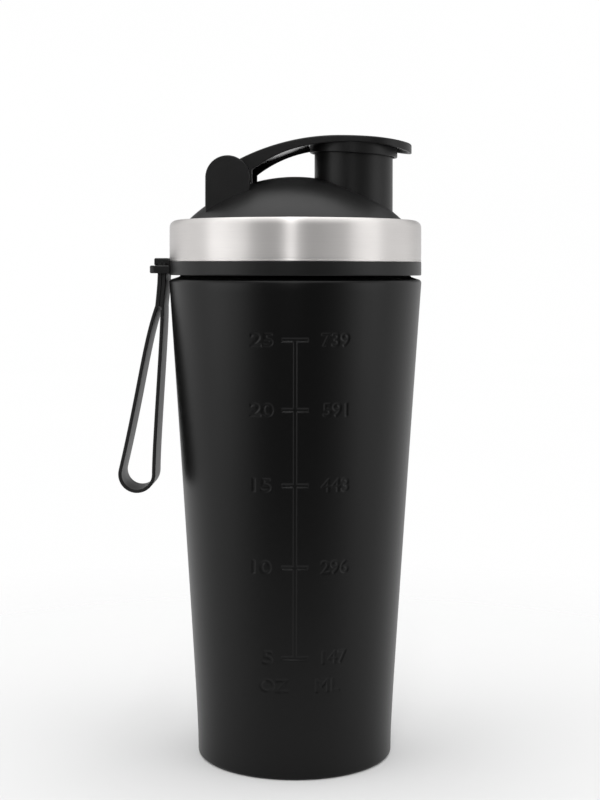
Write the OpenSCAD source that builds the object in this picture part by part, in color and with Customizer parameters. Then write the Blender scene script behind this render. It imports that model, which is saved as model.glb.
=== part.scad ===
// Protein shaker bottle: a tapered steel cup with a screw-on, steel-banded lid, a flip cap
// over the drinking spout and a silicone carry strap. Millimetres, +Z up. The origin is the
// cup's axis at the surface it stands on. The spout is towards +X, the hinge and strap are
// towards -X, and the volume scale faces -Y.

/* [Cup] */
// Radius of the foot
foot_r = 35.8; // [35.2:0.01:36]
// Thickness of the steel wall
wall_t = 0.5; // [0.4:0.05:0.7]
// Slope of the wall above the foot, radius per height
flare = 0.0636; // [0.058:0.0002:0.064]
// Height over which the upright foot turns into the flare
foot_blend = 9; // [7:0.5:11]
// Extra slope gained per millimetre of height
flare_growth = 0.000044; // [0.00003:0.000002:0.00005]
// Height of the shoulder that the lid stands over
shoulder_z = 175.6; // [175:0.1:175.8]
// Rounding of the shoulder's outer edge
shoulder_round = 1.4; // [1:0.1:2]
// Outer radius of the threaded neck
neck_r = 42.95; // [42.6:0.01:42.95]
// Height of the drinking lip
lip_z = 189; // [188.5:0.1:189]
// Height of the welded floor's upper face
floor_z = 7.6; // [6.5:0.1:7.8]

/* [Volume scale] */
// Volume between two marks, in millilitres
mark_volume = 149.5; // [147:0.1:150]
// Number of marks
mark_count = 5; // [1:1:5]
// Depth of the pressed marks
mark_depth = 0.2; // [0.1:0.05:0.3]
// Turn of the scale about the cup's axis, in degrees
scale_turn = 1.9; // [-5:0.1:5]

/* [Thread] */
// Rise of the thread in one turn
thread_lead = 5; // [4.5:0.1:5.5]
// Turns that the thread runs for
thread_turns = 1.25; // [1:0.05:1.3]

/* [Lid] */
// Outer radius of the steel band
band_r = 46.9; // [46.9:0.05:47]
// Thickness of the steel band
band_t = 0.6; // [0.5:0.05:0.7]
// Height of the band's lower edge
band_z = 182.05; // [182:0.05:182.2]
// Height of the band's flat top
band_top = 197.3; // [197.2:0.05:197.4]
// Rounding of the band's upper corner
band_round = 2.6; // [2:0.1:3]
// Radius of the opening in the band's top flange
band_hole_r = 40.1; // [40.1:0.05:40.2]
// Outer radius of the dome's sphere
dome_r = 57.2; // [57.2:0.1:57.4]
// Wall of the moulded dome
dome_wall = 2.2; // [2:0.1:2.3]
// Inner radius of the lid's skirt
skirt_in = 44.1; // [44.05:0.05:44.2]

/* [Spout] */
// Distance of the spout's axis from the cup's axis
spout_x = 21.7; // [21.5:0.1:21.9]
// Outer radius of the spout
spout_r = 14.6; // [14.3:0.05:14.65]
// Wall of the spout
spout_wall = 1.6; // [1.4:0.05:1.65]
// Height of the spout's rim at its axis
spout_rim = 223.7; // [223.5:0.1:223.7]
// Fall of the rim towards the tab, in degrees
rim_tilt = 3.2; // [2.5:0.1:3.5]

/* [Hinge] */
// Place of the hinge axis along X
hinge_x = -24; // [-24.3:0.1:-23.7]
// Height of the hinge axis
hinge_z = 212.4; // [212.2:0.1:212.6]
// Radius of the ears
ear_r = 8.05; // [7.9:0.05:8.2]
// Outer face of the ears from the middle
ear_out = 20; // [19.8:0.1:20.2]
// Inner face of the ears from the middle
ear_in = 17; // [17:0.1:17.1]
// Radius of the arm's barrel
barrel_r = 7.2; // [7:0.1:7.3]
// Radius of the moulded trunnions
trunnion_r = 3.1; // [2.8:0.05:3.2]
// Radial clearance of the trunnions in their sockets
trunnion_gap = 0.08; // [0.05:0.01:0.1]

/* [Flip cap] */
// Half the width of the arm
arm_half = 16.7; // [16.5:0.05:16.7]
// Highest point of the arm
arm_top = 228.05; // [227.9:0.05:228.15]
// Reach of the thumb tab along X
tab_x = 43.3; // [42.5:0.1:44]
// Thickness of the arm's plate
plate_t = 1.7; // [1.5:0.1:1.8]
// Width of the arm's rim
rim_w = 1.4; // [1.2:0.1:1.6]
// Outer radius of the skirt around the spout
cap_skirt_r = 16.3; // [16.2:0.05:16.4]
// Height of the skirt's lower edge at the spout's axis
cap_skirt_z = 221.7; // [221.5:0.1:222]

/* [Strap] */
// Width of the silicone strap
strap_w = 16.5; // [15:0.5:19]
// Thickness of one leg of the loop
leg_t = 1.3; // [1:0.1:1.4]
// Thickness of the stem, where the legs are joined
stem_t = 3.2; // [3:0.1:3.3]
// Place of the stem's middle along X
stem_x = -49.1; // [-49.2:0.1:-49]
// Height at which the strap bends under the lug
bend_z = 174.9; // [174.5:0.1:174.9]
// Lean of the hanging strap away from the cup, in degrees
lean = 5.5; // [4.5:0.5:6]
// Middle of the loop's lower end, X and Z
loop_end = [-58.32, 103.25];
// Radius of the leg's middle around the loop's lower end
loop_end_r = 6.27; // [6.2:0.01:6.35]

/* [Hidden] */
$fn = 96;

eps = 0.01;
black = "#2a2a2c";
rubber = "#1d1d1f";
steel = "#c5c1bd";

// Cup
foot_round = 1.3;
foot_ring_in = 33;
foot_top = 8;
wall_steps = 24;
wall_top = shoulder_z - shoulder_round;
neck_fillet = 0.7;
shoulder_slope = 18;
lip_bevel = 0.12;
base_t = 0.7;
base_corner = 1.4;
neck_ridge = [0.8, 1.6, 0.9];
neck_thread_z = 179;

// Volume scale
scale_line_w = 1.75;
dash_w = 9.2;
dash_h = 1.15;

// Lid
dome_z = band_top - sqrt(dome_r * dome_r - band_hole_r * band_hole_r);
dome_in = dome_r - dome_wall;
skirt_low = 177.3;
collar_out = 46.95;
collar_in = 45.5;
collar_low = 177;
spigot_in = 40;
spigot_out = 41.3;
spigot_low = 185;
gasket_top = 191.1;
seal_gap = 0.05;
lid_thread_drop = 2.2;
lid_thread_start = 100;
trough_r = barrel_r + 0.5;
trough_wall = 2;
socket_end = 19.2;
trunnion_end = 19;

// Flip cap
arm_peak_x = 16.4;
arm_back_r = 80.5;
arm_front_r = 160;
arm_low_x = 20;
arm_low_z = 225.65;
arm_low_r = 82;
arm_bend_x = 12.8;
arm_bend_r = 45.4;
arm_join_x = 6;
root_x = -15.3;
root_low = 210.6;
root_hollow = -17.5;
plate_root = [-14.2, 219.1];
plate_slope = 0.375;
plate_step_x = 4.9;
cap_floor = spout_rim + 1.2;
cap_skirt_in = 15.3;
cap_clear = 0.4;
plug_top_r = 12.6;
plug_low_r = 11.6;
plug_in_r = 10;
plug_depth = 3;
seal_r = 14.9;

// Strap
lug_out = 54.2;
lug_half = 11.3;
lug_low = 177.64;
lug_top = 180.54;
slot_gap = 0.2;
head_out = 52.55;
head_in = 47.1;
head_top = 183.3;
loop_top = 166;

// Points of an arc about [x, y], from angle a to angle b
function arc(x, y, r, a, b, n = 6) =
    [for (i = [0:n]) let (t = a + (b - a) * i / n) [x + r * cos(t), y + r * sin(t)]];

// Outer radius of the cup's wall at height z
function cup_r(z) =
    foot_r + flare * (z - foot_blend * (1 - exp(-z / foot_blend))) + flare_growth * z * z / 2;

// Outline of the wall from height a to height b, moved inwards by t
function wall_line(a, b, t, n = wall_steps) =
    [for (i = [0:n]) let (z = a + (b - a) * i / n) [cup_r(z) - t, z]];

// Inner radius of the cup at height z, and the volume held from the floor up to z
function bore_r(z) = cup_r(z) - wall_t;
function disc_ml(z) = PI * bore_r(z) * bore_r(z) / 1000;
function volume(z, n = 12) =
    let (h = (z - floor_z) / n)
    h * (disc_ml(floor_z) + disc_ml(z)) / 2
    + h * sum([for (i = [1:n - 1]) disc_ml(floor_z + h * i)]);
function sum(v, i = 0) = i < len(v) ? v[i] + sum(v, i + 1) : 0;

// Height at which the cup holds v millilitres, found by halving the range between a and b
function level(v, a = floor_z, b = shoulder_z, n = 16) =
    n == 0 ? (a + b) / 2
    : volume((a + b) / 2) > v ? level(v, a, (a + b) / 2, n - 1)
    : level(v, (a + b) / 2, b, n - 1);

// Point at share t of a cubic Bezier curve
function bezier(p, t) =
    pow(1 - t, 3) * p[0] + 3 * t * pow(1 - t, 2) * p[1] + 3 * t * t * (1 - t) * p[2]
    + pow(t, 3) * p[3];

// A line of points moved sideways by d, to the left of its direction
function along(p, i) = p[min(i + 1, len(p) - 1)] - p[max(i - 1, 0)];
function shifted(p, d) =
    [for (i = [0:len(p) - 1]) let (v = along(p, i)) p[i] + d * [-v[1], v[0]] / norm(v)];
function reversed(p) = [for (i = [len(p) - 1:-1:0]) p[i]];

// A solid of revolution with this half outline
module revolve(outline) rotate_extrude() polygon(outline);

// An outline in X and Z, as thick as 2 * half about the middle plane
module slab(half) rotate([90, 0, 0]) translate([0, 0, -half]) linear_extrude(2 * half) children();

// A round bar along Y at [x, z]
module cross_bar(x, z, r, half) translate([x, 0, z]) rotate([90, 0, 0])
    cylinder(r = r, h = 2 * half, center = true);

// A helical ridge on a wall of radius wall_r: size is its height, root width and crest width,
// and side is 1 to stand outwards or -1 to stand inwards. It fades in and out at both ends.
module thread_ridge(wall_r, size, z, start, side) {
    step = 7.5;
    fade = 40;
    bury = 0.3;
    count = round(thread_turns * 360 / step);
    function rise(a) = max(0.02, min(1, a / fade, (thread_turns * 360 - a) / fade));
    function ring(a) = let (
        crest = wall_r + side * size[0] * rise(a),
        root = wall_r - side * bury,
        up = z + thread_lead * (a + start) / 360,
        turn = a + start,
        section = [[root, -size[1] / 2], [crest, -size[2] / 2], [crest, size[2] / 2], [root, size[1] / 2]]
    ) [for (p = section) [p[0] * cos(turn), p[0] * sin(turn), up + p[1]]];
    function side_faces(i) = [for (k = [0:3]) let (
        a = 4 * i + k,
        b = 4 * i + (k + 1) % 4
    ) each [[a, b, b + 4], [a, b + 4, a + 4]]];
    points = [for (i = [0:count]) each ring(i * step)];
    caps = [[3, 2, 1], [3, 1, 0], [4 * count, 4 * count + 1, 4 * count + 2],
        [4 * count, 4 * count + 2, 4 * count + 3]];
    faces = concat(caps, [for (i = [0:count - 1]) each side_faces(i)]);
    polyhedron(points, side > 0 ? faces : reversed_faces(faces));
}
function reversed_faces(f) = [for (t = f) [t[2], t[1], t[0]]];

// Middle of the shoulder's rounded edge, and height of the middle of the fillet where the
// shoulder, which rises inwards, meets the neck
shoulder_x = cup_r(wall_top) - shoulder_round;
fillet_z = wall_top + (shoulder_round + neck_fillet) / cos(shoulder_slope)
    + (shoulder_x - neck_r - neck_fillet) * tan(shoulder_slope);

module cup_wall() revolve(concat(
    [[foot_ring_in, 0]],
    arc(foot_r - foot_round, foot_round, foot_round, -90, 0),
    wall_line(foot_top, wall_top, 0),
    arc(shoulder_x, wall_top, shoulder_round, 15, 90 - shoulder_slope),
    arc(neck_r + neck_fillet, fillet_z, neck_fillet, 270 - shoulder_slope, 180, 4),
    [[neck_r, lip_z - lip_bevel], [neck_r - lip_bevel, lip_z]],
    [[neck_r - wall_t + lip_bevel, lip_z], [neck_r - wall_t, lip_z - lip_bevel]],
    arc(neck_r + neck_fillet, fillet_z, neck_fillet + wall_t, 180, 270 - shoulder_slope, 4),
    arc(shoulder_x, wall_top, shoulder_round - wall_t, 90 - shoulder_slope, 0),
    wall_line(wall_top - 2, foot_top + 2, wall_t),
    [[foot_r - wall_t, foot_top]],
    arc(foot_r - foot_round, foot_round, foot_round - wall_t, 0, -90),
    [[foot_ring_in, wall_t]]
));

// The upright line and the cross marks of the volume scale, as a shell sunk into the wall
module scale_marks() {
    low = level(mark_volume);
    high = level(mark_count * mark_volume);
    intersection() {
        revolve(concat(
            wall_line(low - 10, wall_top, mark_depth),
            reversed(wall_line(low - 10, wall_top, -1))
        ));
        rotate(scale_turn) {
            translate([-scale_line_w / 2, -60, low]) cube([scale_line_w, 60, high - low]);
            for (i = [1:mark_count])
                translate([-dash_w / 2, -60, level(i * mark_volume) - dash_h / 2])
                    cube([dash_w, 60, dash_h]);
        }
    }
}

module cup_body() color(black) {
    difference() {
        cup_wall();
        scale_marks();
    }
    thread_ridge(neck_r, neck_ridge, neck_thread_z, 0, 1);
}

module cup_base() color(steel) revolve(concat(
    [[foot_r - wall_t, foot_round]],
    arc(foot_r - wall_t - base_corner, floor_z - base_corner, base_corner, 0, 90),
    [[0, floor_z], [0, floor_z - base_t]],
    arc(foot_r - wall_t - base_corner, floor_z - base_corner, base_corner - base_t, 90, 0),
    [[foot_r - wall_t - base_t, foot_round]]
));

// The threaded skirt, the shoulder under the band and the spigot inside the neck
module lid_skirt() revolve(concat(
    [[skirt_in, skirt_low], [collar_in, skirt_low], [collar_in, band_z], [band_r - band_t, band_z]],
    arc(band_r - band_round, band_top - band_round, band_round - band_t, 0, 90),
    [[spigot_in, band_top - band_t], [spigot_in, spigot_low], [spigot_out, spigot_low]],
    [[spigot_out, gasket_top], [skirt_in, gasket_top]]
));

module ear(side) translate([hinge_x, side * (ear_in + ear_out) / 2, hinge_z]) slab((ear_out - ear_in) / 2) {
    circle(r = ear_r);
    translate([-ear_r, -17]) square([2 * ear_r, 17]);
}

// Sphere of radius r about the dome's centre
module dome_ball(r) translate([0, 0, dome_z]) sphere(r = r, $fn = 192);

// A cylinder of radius r about the cup's axis, from height a to height b
module axial(r, a, b) translate([0, 0, a]) cylinder(r = r, h = b - a);

// Everything below a plane that falls by rim_tilt towards +X and meets the spout's axis at z
module below_tilt(z) translate([spout_x, 0, z]) rotate([0, rim_tilt, 0]) translate([-60, -60, -60])
    cube([120, 120, 60]);

module lid_shell() color(black) {
    difference() {
        union() {
            lid_skirt();
            intersection() {
                dome_ball(dome_r);
                axial(band_hole_r, gasket_top, band_top + 30);
            }
            intersection() {
                translate([spout_x, 0, 0]) axial(spout_r, 196, spout_rim + 3);
                below_tilt(spout_rim);
            }
            for (side = [-1, 1]) ear(side);
        }
        difference() {
            intersection() {
                dome_ball(dome_in);
                axial(spigot_in, gasket_top - 1, band_top + 30);
            }
            cross_bar(hinge_x, hinge_z, trough_r + trough_wall, ear_in + trough_wall);
        }
        translate([spout_x, 0, 0]) axial(spout_r - spout_wall, 190, spout_rim + 5);
        cross_bar(hinge_x, hinge_z, trough_r, ear_in);
        cross_bar(hinge_x, hinge_z, trunnion_r + trunnion_gap, socket_end);
    }
    thread_ridge(skirt_in, [0.9, 1.6, 0.8], neck_thread_z - lid_thread_drop, lid_thread_start, -1);
}

module lid_band() color(steel) revolve(concat(
    [[band_r - band_t, band_z], [band_r, band_z]],
    arc(band_r - band_round, band_top - band_round, band_round, 0, 90, 8),
    [[band_hole_r, band_top], [band_hole_r, band_top - band_t]],
    arc(band_r - band_round, band_top - band_round, band_round - band_t, 90, 0)
));

module strap_collar() color(black) {
    difference() {
        axial(collar_out, collar_low, band_z);
        axial(collar_in, collar_low - 1, band_z + 1);
    }
    difference() {
        intersection() {
            axial(lug_out, lug_low, lug_top);
            translate([-60, -lug_half, lug_low - 1]) cube([60, 2 * lug_half, 10]);
        }
        axial(collar_out - 0.3, lug_low - 1, lug_top + 1);
        translate([stem_x - stem_t / 2 - slot_gap, -strap_w / 2 - slot_gap, lug_low - 1])
            cube([-collar_out - stem_x + stem_t / 2 + slot_gap, strap_w + 2 * slot_gap, 10]);
    }
}

module lid_gasket() color(rubber) revolve([
    [spigot_out + 0.2, lip_z + seal_gap], [skirt_in - 0.2, lip_z + seal_gap],
    [skirt_in - 0.2, gasket_top - seal_gap], [spigot_out + 0.2, gasket_top - seal_gap]
]);

module mixing_grid() color(black) {
    pitch = 6.6;
    bar = 1.2;
    rim = 1.2;
    low = 185.2;
    translate([0, 0, low]) linear_extrude(1.6) intersection() {
        circle(r = spigot_in - rim / 2);
        for (i = [-5:5]) {
            translate([i * pitch - bar / 2, -50]) square([bar, 100]);
            translate([-50, i * pitch - bar / 2]) square([100, bar]);
        }
    }
    difference() {
        axial(spigot_in, low, low + 5);
        axial(spigot_in - rim, low - 1, low + 6);
    }
}

// Height at x above the middle of an arc of radius r about middle_x
function arc_rise(x, middle_x, r) = sqrt(r * r - pow(x - middle_x, 2));

// Height of the arm's upper and lower face at x
function arm_high(x) =
    let (r = x < arm_peak_x ? arm_back_r : arm_front_r)
    arm_top - r + arc_rise(x, arm_peak_x, r);
function arm_low_front(x) = arm_low_z - arm_low_r + arc_rise(x, arm_low_x, arm_low_r);
function arm_low(x) = x > arm_join_x ? arm_low_front(x)
    : arm_low_front(arm_join_x) - arc_rise(arm_join_x, arm_bend_x, arm_bend_r)
        + arc_rise(x, arm_bend_x, arm_bend_r);

// Height of the plate's underside at x: a straight slope from the root up to a step
function plate_low(x) = x > plate_step_x ? arm_high(x) - plate_t
    : plate_root[1] + plate_slope * (x - plate_root[0]);

// Side outline of the arm between two heights that are functions of x
module arm_outline(back, front, n = 18) {
    xs = [for (i = [0:n]) back + (front - back) * i / n];
    polygon(concat(
        [for (x = xs) [x, arm_high(x)]],
        [for (x = reversed(xs)) if (x > root_x + 1) [x, arm_low(x)]],
        [[root_x, arm_low(root_x)], [root_x, root_low], [hinge_x, hinge_z]]
    ));
}

// Plan of the arm: parallel sides that end in a half circle, drawn inwards by t
module arm_plan(t) {
    r = arm_half - t;
    end_x = tab_x - arm_half;
    translate([end_x, 0]) circle(r = r);
    translate([-60, -r]) square([60 + end_x, 2 * r]);
}

module flip_cap() color(black) difference() {
    union() {
        cross_bar(hinge_x, hinge_z, barrel_r, arm_half);
        cross_bar(hinge_x, hinge_z, trunnion_r, trunnion_end);
        difference() {
            intersection() {
                slab(arm_half) arm_outline(hinge_x + 3.2, tab_x);
                translate([0, 0, hinge_z - 10]) linear_extrude(40) arm_plan(0);
            }
            // Hollow under the plate, inside the rim and open towards the barrel
            intersection() {
                slab(arm_half - rim_w) polygon(concat(
                    [for (x = [root_hollow, plate_step_x]) [x, plate_low(x)]],
                    [for (x = [plate_step_x + eps:3:44]) [x, plate_low(x)]],
                    [[44, root_low - 2], [root_hollow, root_low - 2]]
                ));
                translate([0, 0, hinge_z - 10]) linear_extrude(40) arm_plan(rim_w);
            }
            dome_ball(dome_r + cap_clear);
        }
        difference() {
            intersection() {
                translate([spout_x, 0, 0]) axial(cap_skirt_r, cap_skirt_z - 2, arm_top - 1.2);
                slab(arm_half) arm_outline_cap();
            }
            below_tilt(cap_skirt_z);
        }
    }
    intersection() {
        translate([spout_x, 0, 0]) axial(cap_skirt_in, cap_skirt_z - 3, cap_floor + 3);
        below_tilt(cap_floor);
    }
}

// Side outline that keeps the cap's skirt under the plate's upper face
module arm_outline_cap() polygon(concat(
    [for (x = [4:2:40]) [x, arm_high(x) - 0.5]],
    [[40, cap_skirt_z - 3], [4, cap_skirt_z - 3]]
));

module spout_seal() color(rubber) translate([spout_x, 0, cap_floor]) rotate([0, rim_tilt, 0]) revolve([
    [0, 0], [seal_r, 0], [seal_r, -1.1], [plug_top_r, -1.1], [plug_low_r, -1.1 - plug_depth],
    [plug_in_r, -1.1 - plug_depth], [plug_in_r, -1.1], [0, -1.1]
]);

module strap_head() color(rubber) {
    difference() {
        intersection() {
            axial(head_out, lug_top, head_top);
            translate([-60, -strap_w / 2, lug_top]) cube([60, strap_w, 10]);
        }
        axial(head_in, lug_top - 1, head_top + 1);
    }
    translate([stem_x - stem_t / 2, -strap_w / 2, bend_z + stem_t / 2 + 0.4])
        cube([stem_t, strap_w, lug_top - bend_z - stem_t / 2 - 0.4 + 0.5]);
}

// Middle line of the loop: down the outer leg, round the lower end and up the inner leg
leg_off = (stem_t - leg_t) / 2;
stem_foot = [stem_x - (bend_z - loop_top + 0.5) * tan(lean), loop_top - 0.5];
end_turn = 167;
outer_leg = [
    stem_foot - [leg_off, 0], [-55.84, 151.8], [-57.33, 135.14],
    loop_end + loop_end_r * [cos(end_turn), sin(end_turn)]
];
inner_leg = [loop_end + [loop_end_r, 0], [-52.05, 115], [-48.64, 159.2], stem_foot + [leg_off, 0]];
loop_line = concat(
    [for (i = [0:15]) bezier(outer_leg, i / 16)],
    arc(loop_end[0], loop_end[1], loop_end_r, end_turn, 360, 14),
    [for (i = [1:16]) bezier(inner_leg, i / 16)]
);

module strap_loop() color(rubber) {
    slab(strap_w / 2) polygon(concat(
        shifted(loop_line, leg_t / 2),
        reversed(shifted(loop_line, -leg_t / 2))
    ));
    cross_bar(stem_x, bend_z, stem_t / 2, strap_w / 2);
    translate([stem_x, 0, bend_z]) rotate([0, lean, 0])
        translate([-stem_t / 2, -strap_w / 2, loop_top - 1 - bend_z])
            cube([stem_t, strap_w, bend_z - loop_top + 1]);
}

cup_body();
cup_base();
lid_shell();
lid_band();
strap_collar();
lid_gasket();
mixing_grid();
flip_cap();
spout_seal();
strap_head();
strap_loop();
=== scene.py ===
"""Looks of the protein shaker bottle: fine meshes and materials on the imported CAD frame.

Lengths are millimetres in the shape functions, and metres in the materials, the camera and the
lights. Objects are in metres, in the CAD's own frame: +Z up, the cup's axis at the origin, spout
towards +X, hinge and strap towards -X, volume scale towards -Y.
"""

from math import atan2, cos, degrees, exp, pi, radians, sin, sqrt, tan

import bmesh
import bpy
import numpy as np
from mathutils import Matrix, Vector


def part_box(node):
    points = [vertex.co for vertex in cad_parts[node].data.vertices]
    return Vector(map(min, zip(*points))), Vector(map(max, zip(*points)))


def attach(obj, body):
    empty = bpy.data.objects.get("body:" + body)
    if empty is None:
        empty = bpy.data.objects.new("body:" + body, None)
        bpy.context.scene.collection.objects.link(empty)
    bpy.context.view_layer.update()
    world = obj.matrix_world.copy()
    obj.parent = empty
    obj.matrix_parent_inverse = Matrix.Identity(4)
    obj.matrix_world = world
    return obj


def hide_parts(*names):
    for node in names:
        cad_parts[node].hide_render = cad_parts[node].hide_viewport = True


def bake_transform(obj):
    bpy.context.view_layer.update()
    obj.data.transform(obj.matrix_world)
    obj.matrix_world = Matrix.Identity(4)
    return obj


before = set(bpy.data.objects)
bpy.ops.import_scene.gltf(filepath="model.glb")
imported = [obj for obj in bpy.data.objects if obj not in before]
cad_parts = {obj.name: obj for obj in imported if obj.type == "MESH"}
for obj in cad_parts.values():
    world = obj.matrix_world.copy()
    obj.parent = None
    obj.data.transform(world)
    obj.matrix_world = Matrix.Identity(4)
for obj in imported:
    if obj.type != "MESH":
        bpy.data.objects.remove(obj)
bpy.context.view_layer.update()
MM = 0.001


def box_mm(node):
    """Lowest and highest corner of a CAD node, in millimetres."""
    low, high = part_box(node)
    return low / MM, high / MM


# ---------------------------------------------------------------- places, from the frame
cup_high = box_mm("cup_body")[1]
band_low, band_high = box_mm("lid_band")
shell_low = box_mm("lid_shell")[0]
collar_lowest = box_mm("strap_collar")[0]
floor_high = box_mm("cup_base")[1]
cap_high = box_mm("flip_cap")[1]
head_high = box_mm("strap_head")[1]
loop_high = box_mm("strap_loop")[1]

# Cup. FLARE is the growth of the radius with height, which starts softly above the foot.
LIP_Z = cup_high.z
NECK_R = 42.95
WALL_T = 0.5
FOOT_R = 35.8
FLARE = 0.0636
FOOT_BLEND = 9
FLARE_GROWTH = 0.000044
SHOULDER_Z = 174.2
SHOULDER_ROUND = 1.4
SHOULDER_SLOPE = 18
NECK_FILLET = 0.7
FOOT_ROUND = 1.3
FOOT_RING_IN = 33
FLOOR_Z = floor_high.z
FLOOR_T = 0.7
FLOOR_ROUND = 1.4
FLOOR_EDGE = 27
FLOOR_DIP = ((0, 0.25), (6, 0.25), (9, 0.2), (11, 0.05), (13, 0))  # radius, depth under the floor
BARE_Z = 177.8  # the neck is bare steel above this height

# Screw thread: THREAD_FADE and THREAD_STEP are degrees
THREAD_LEAD = 5
THREAD_TURNS = 1.25
THREAD_FADE = 40
THREAD_STEP = 3
THREAD_ROOT = 1.6
NECK_THREAD_Z = 179
LID_THREAD_Z = NECK_THREAD_Z - 2.2
LID_THREAD_START = 100

# Volume scale. The _AT values run around the wall from the scale's middle, and the _WIDE values
# stretch the figures. FIGURE_BOLD widens their strokes, PRESS_SOFT softens the pressed edges.
SCALE_TURN = 1.9
SCALE_SIDE = 31
MARK_ML = 149.5
MARKS = ((5, 147), (10, 296), (15, 443), (20, 591), (25, 739))
DASH_W = 9.2
DASH_H = 1.15
FIGURE_H = 4.5
FIGURE_BOLD = 0.12
FIGURE_REACH = 3.3
MARK_DEPTH = 0.34
FIGURE_DEPTH = 0.17
PRESS_SOFT = 0.32
OUNCES_AT, SHORT_OUNCES_AT, OUNCES_WIDE = -11.8, -9.6, 1.37
MILLILITRES_AT, MILLILITRES_WIDE = 14.3, 1.10
OZ_AT, ML_AT, UNITS_WIDE, UNITS_DROP = -7.4, 11.8, 1.12, 9.9

# Lid. SNUG is the gap between the band and what it sits on.
BAND_R = band_high.x
BAND_T = 0.6
BAND_Z = band_low.z
BAND_TOP = band_high.z
BAND_ROUND = 2.6
BAND_HOLE_R = 40.1
SNUG = 0.03
DOME_R = 57.2
DOME_IN = DOME_R - 2.2
DOME_Z = BAND_TOP - sqrt(DOME_R ** 2 - BAND_HOLE_R ** 2)
SKIRT_IN = 44.1
SKIRT_LOW = shell_low.z
COLLAR_OUT = 46.95
COLLAR_IN = 45.5
COLLAR_LOW = collar_lowest.z
SPIGOT_IN = 40
SPIGOT_OUT = 41.3
SPIGOT_LOW = 185
GASKET_TOP = 191.1

# Spout: it starts inside the dome, and its bore runs from below the dome to over the rim
SPOUT_X = 21.7
SPOUT_R = 14.6
SPOUT_IN = 13
SPOUT_FOOT = 197
SPOUT_RIM = 223.7
BORE_ENDS = (188, 232)
RIM_TILT = 3.2

# Hinge
HINGE_X = -24
HINGE_Z = 212.4
EAR_R = 8.05
EAR_OUT = 20
EAR_IN = 17
EAR_FOOT = 198.2
BARREL_R = 7.2
TRUNNION_R = 3.1
TRUNNION_END = 19

# Flip cap. The top is two arcs that meet at its peak. The rim's lower edge is an arc in front
# (x and z of its top, radius), an arc behind (x and z of its centre, radius) and a straight root.
ARM_HALF = 16.7
ARM_TOP = cap_high.z
ARM_PEAK_X = 16.4
ARM_BACK_R = 80.5
ARM_FRONT_R = 160.0
RIM_FRONT = (20, 225.65, 82)
RIM_BEND = (12.8, 179.56, 45.4)
RIM_JOIN_X = 6
RIM_W = 1.4
ROOT_X = -15.3
ROOT_LOW = 210.6
ROOT_SLOPE = 0.207
ROOT_BACK = -21.0
ROOT_HOLLOW = -17.5
TAB_X = cap_high.x
PLATE_T = 1.7
PLATE_ROOT = (-14.2, 219.1)
PLATE_SLOPE = 0.375
PLATE_STEP_X = 4.9
GLOSS_X = -13
DOME_GAP = 0.4
DOME_GAP_X = -16.5
CAP_SKIRT_R = 16.3
CAP_SKIRT_IN = 15.3
CAP_SKIRT_Z = 221.7
CAP_SKIRT_TOP = 226
CAP_FLOOR = SPOUT_RIM + 1.2

# Strap. LOOP_OUTER and LOOP_INNER are the curve handles of the loop's two legs.
STRAP_HALF = loop_high.y
STEM_T = 3.2
STEM_X = -49.1
BEND_Z = 174.9
BEND_SOFT = 1.5
LEAN = 5.5
LEG_T = 1.3
LOOP_TOP = 165.5
LOOP_OUTER = [(-55.84, 151.8), (-57.33, 135.14)]
LOOP_INNER = [(-52.05, 115), (-48.64, 159.2)]
LOOP_END = (-58.32, 103.25)
LOOP_END_R = 6.27
LOOP_END_TURN = 167
HEAD_IN = 47.1
HEAD_MIDDLE = 50
HEAD_OUT = 52.55
LUG_IN = 45.9
LUG_OUT = 54.2
LUG_HALF = 11.3
LUG_ROUND = 2.2
LUG_LOW = 177.64
LUG_TOP = 180.54

# Camera, in metres and degrees
CAMERA_AWAY, CAMERA_EYE = 0.561, 0.1794
CAMERA_TURN, CAMERA_ROLL = 1.9, -0.1
LENS, SHIFT_X, SHIFT_Y = 67.5, 0.0058, -0.164

# Lights: name, turn from the camera's side in degrees, height, distance, width and length, power
LIGHTS = (
    ("left_box", -60, 0.25, 0.9, (0.7, 0.5), 1.6),
    ("right_box", 67, 0.25, 0.9, (0.5, 0.5), 1.0),
    ("strip", -2.5, 0.9, 1.1, (0.05, 1.8), 3.1),
    ("top_box", 180, 1.1, 0.0, (1.0, 1.0), 4.2),
)
LIGHT_TARGET = (0, 0, 0.13)

# Brightness of the surroundings, and the stage in metres
FRONT, AROUND, BEHIND, ABOVE, BACKDROP = 0.085, 0.92, 0.1, 1.25, 1.0
FLOOR_REACH, STAGE_REACH, STAGE_HIGH, STAGE_SIDES = 1.2, 3.0, 4.0, 96


# ---------------------------------------------------------------- outlines, in millimetres
def arc(x, y, r, start, end, n=6):
    """Points of an arc about (x, y), from angle start to angle end in degrees."""
    turn = [radians(start + (end - start) * i / n) for i in range(n + 1)]
    return [(x + r * cos(t), y + r * sin(t)) for t in turn]


def cup_r(z):
    """Outer radius of the cup's wall at height z."""
    return FOOT_R + FLARE * (z - FOOT_BLEND * (1 - exp(-z / FOOT_BLEND))) + FLARE_GROWTH * z * z / 2


def level(ml):
    """Height at which the cup holds this many millilitres."""
    z, held, step = FLOOR_Z, 0.0, 0.05
    while held < ml:
        held += pi * (cup_r(z) - WALL_T) ** 2 * step / 1000
        z += step
    return z


def lerp(a, b, t):
    return a + (b - a) * t


def spread(a, b, step):
    """Evenly spaced values from a to b, no further apart than step."""
    n = max(1, int(np.ceil(abs(b - a) / step - 1e-9)))
    return [lerp(a, b, i / n) for i in range(n + 1)]


def bezier(p, t):
    """A point of the cubic curve with these four control points."""
    u = 1 - t
    weights = (u ** 3, 3 * u * u * t, 3 * u * t * t, t ** 3)
    return tuple(sum(w * v for w, v in zip(weights, values)) for values in zip(*p))


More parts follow.
